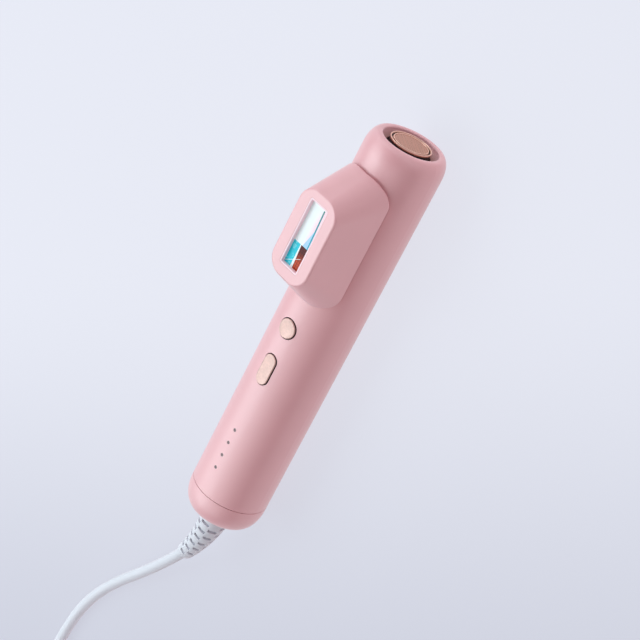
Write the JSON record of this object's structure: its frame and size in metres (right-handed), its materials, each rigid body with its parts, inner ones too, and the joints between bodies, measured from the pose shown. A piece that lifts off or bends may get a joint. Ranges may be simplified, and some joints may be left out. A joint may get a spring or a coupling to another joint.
{
  "type": "ipl hair remover",
  "caption": "Round satin-pink light-based hair remover lying on its back, with a plug-in lamp head, push buttons, an end air vent and a coiled adapter cord.",
  "frame": {"origin": "centre of the footprint of the handle and lamp head, on the surface the device lies on (the cord's pieces are left out)", "axes": "+Y along the handle tube towards the air-vent end, +Z the direction the light leaves the lamp head, +X to the right seen from above"},
  "size_m": [0.0937, 0.4552, 0.0587],
  "materials": {
    "pink_shell": "satin soft-touch",
    "rose_gold": "spun brushed, anodised rose gold",
    "champagne": "pearl, satin gloss",
    "silver_metal": "fine satin",
    "magnet_nickel": "nickel plated",
    "mirror_wall": "polished",
    "clear_glass": "clear",
    "filter_coating": "dichroic",
    "black_plastic": "fine texture",
    "button_skirt": "satin",
    "white_plastic": "plain",
    "clear_plastic": "smoked clear",
    "led_epoxy": "clear epoxy",
    "circuit_board": "solder mask",
    "components": "moulded epoxy",
    "capacitor_can": "sleeved can",
    "copper_winding": "wound with tape",
    "heat_sink_alu": "extruded",
    "ferrite": "sintered",
    "lamp_ceramic": "fired",
    "wire_insulation": "silicone",
    "cord_jacket": "satin white",
    "tie_strap": "hook and loop",
    "adapter_plastic": "fine texture"
  },
  "bodies": {
    "handle": {"adapter_body": "adapter_plastic", "adapter_pins": "silver_metal", "adapter_relief": "cord_jacket", "board_components": "components", "bottom_cap": "pink_shell", "button_board": "circuit_board", "capacitor_clip": "black_plastic", "chassis_back": "black_plastic", "chassis_front": "black_plastic", "chassis_screws": "silver_metal", "cord_clamp": "white_plastic", "cord_coil": "cord_jacket", "cord_lead": "cord_jacket", "cord_tail": "cord_jacket", "cord_tie": "tie_strap", "fan_housing": "black_plastic", "fan_stator": "copper_winding", "flash_capacitor": "capacitor_can", "heat_sink": "heat_sink_alu", "latch_magnets": "magnet_nickel", "lead_wires": "wire_insulation", "led_board": "circuit_board", "light_guide": "clear_plastic", "main_board": "circuit_board", "main_tube": "pink_shell", "power_transistor": "components", "socket_contacts": "silver_metal", "socket_tray": "black_plastic", "status_leds": "led_epoxy", "strain_relief": "cord_jacket", "tact_switches": "components", "terminal_block": "white_plastic", "trigger_transformer": "copper_winding", "vent_disc": "rose_gold", "vent_liner": "black_plastic", "vent_ring": "rose_gold"},
    "lamp_head": {"head_shell": "pink_shell", "window_frame": "silver_metal", "front_glass": "clear_glass", "light_duct": "mirror_wall", "filter_glass": "filter_coating", "lamp_reflector": "mirror_wall", "flash_lamp": "clear_glass", "lamp_electrodes": "silver_metal", "lamp_holders": "lamp_ceramic", "cartridge_base": "black_plastic", "contact_pins": "silver_metal", "head_magnets": "magnet_nickel", "holder_screws": "silver_metal"},
    "power_button": {"power_button_cap": "champagne", "power_button_stem": "button_skirt"},
    "mode_button": {"mode_button_cap": "champagne", "mode_button_stem": "button_skirt"},
    "fan_rotor": {"fan_impeller": "black_plastic", "fan_rotor_magnet": "ferrite", "fan_shaft": "silver_metal"}
  },
  "joints": [
    {"name": "head_pull_off", "type": "slide", "parent": "handle", "child": "lamp_head", "axis": [0, 0, 1], "range_m": [0, 0.03]},
    {"name": "power_button_press", "type": "slide", "parent": "handle", "child": "power_button", "axis": [0, 0, -1], "range_m": [0, 0.0006], "stiffness_N_per_m": 3000, "springref_m": -0.0001},
    {"name": "mode_button_press", "type": "slide", "parent": "handle", "child": "mode_button", "axis": [0, 0, -1], "range_m": [0, 0.0006], "stiffness_N_per_m": 3000, "springref_m": -0.0001},
    {"name": "fan_spin", "type": "hinge", "parent": "handle", "child": "fan_rotor", "pos_m": [0, 0.09475, 0.019], "axis": [0, 1, 0], "continuous": true}
  ]
}
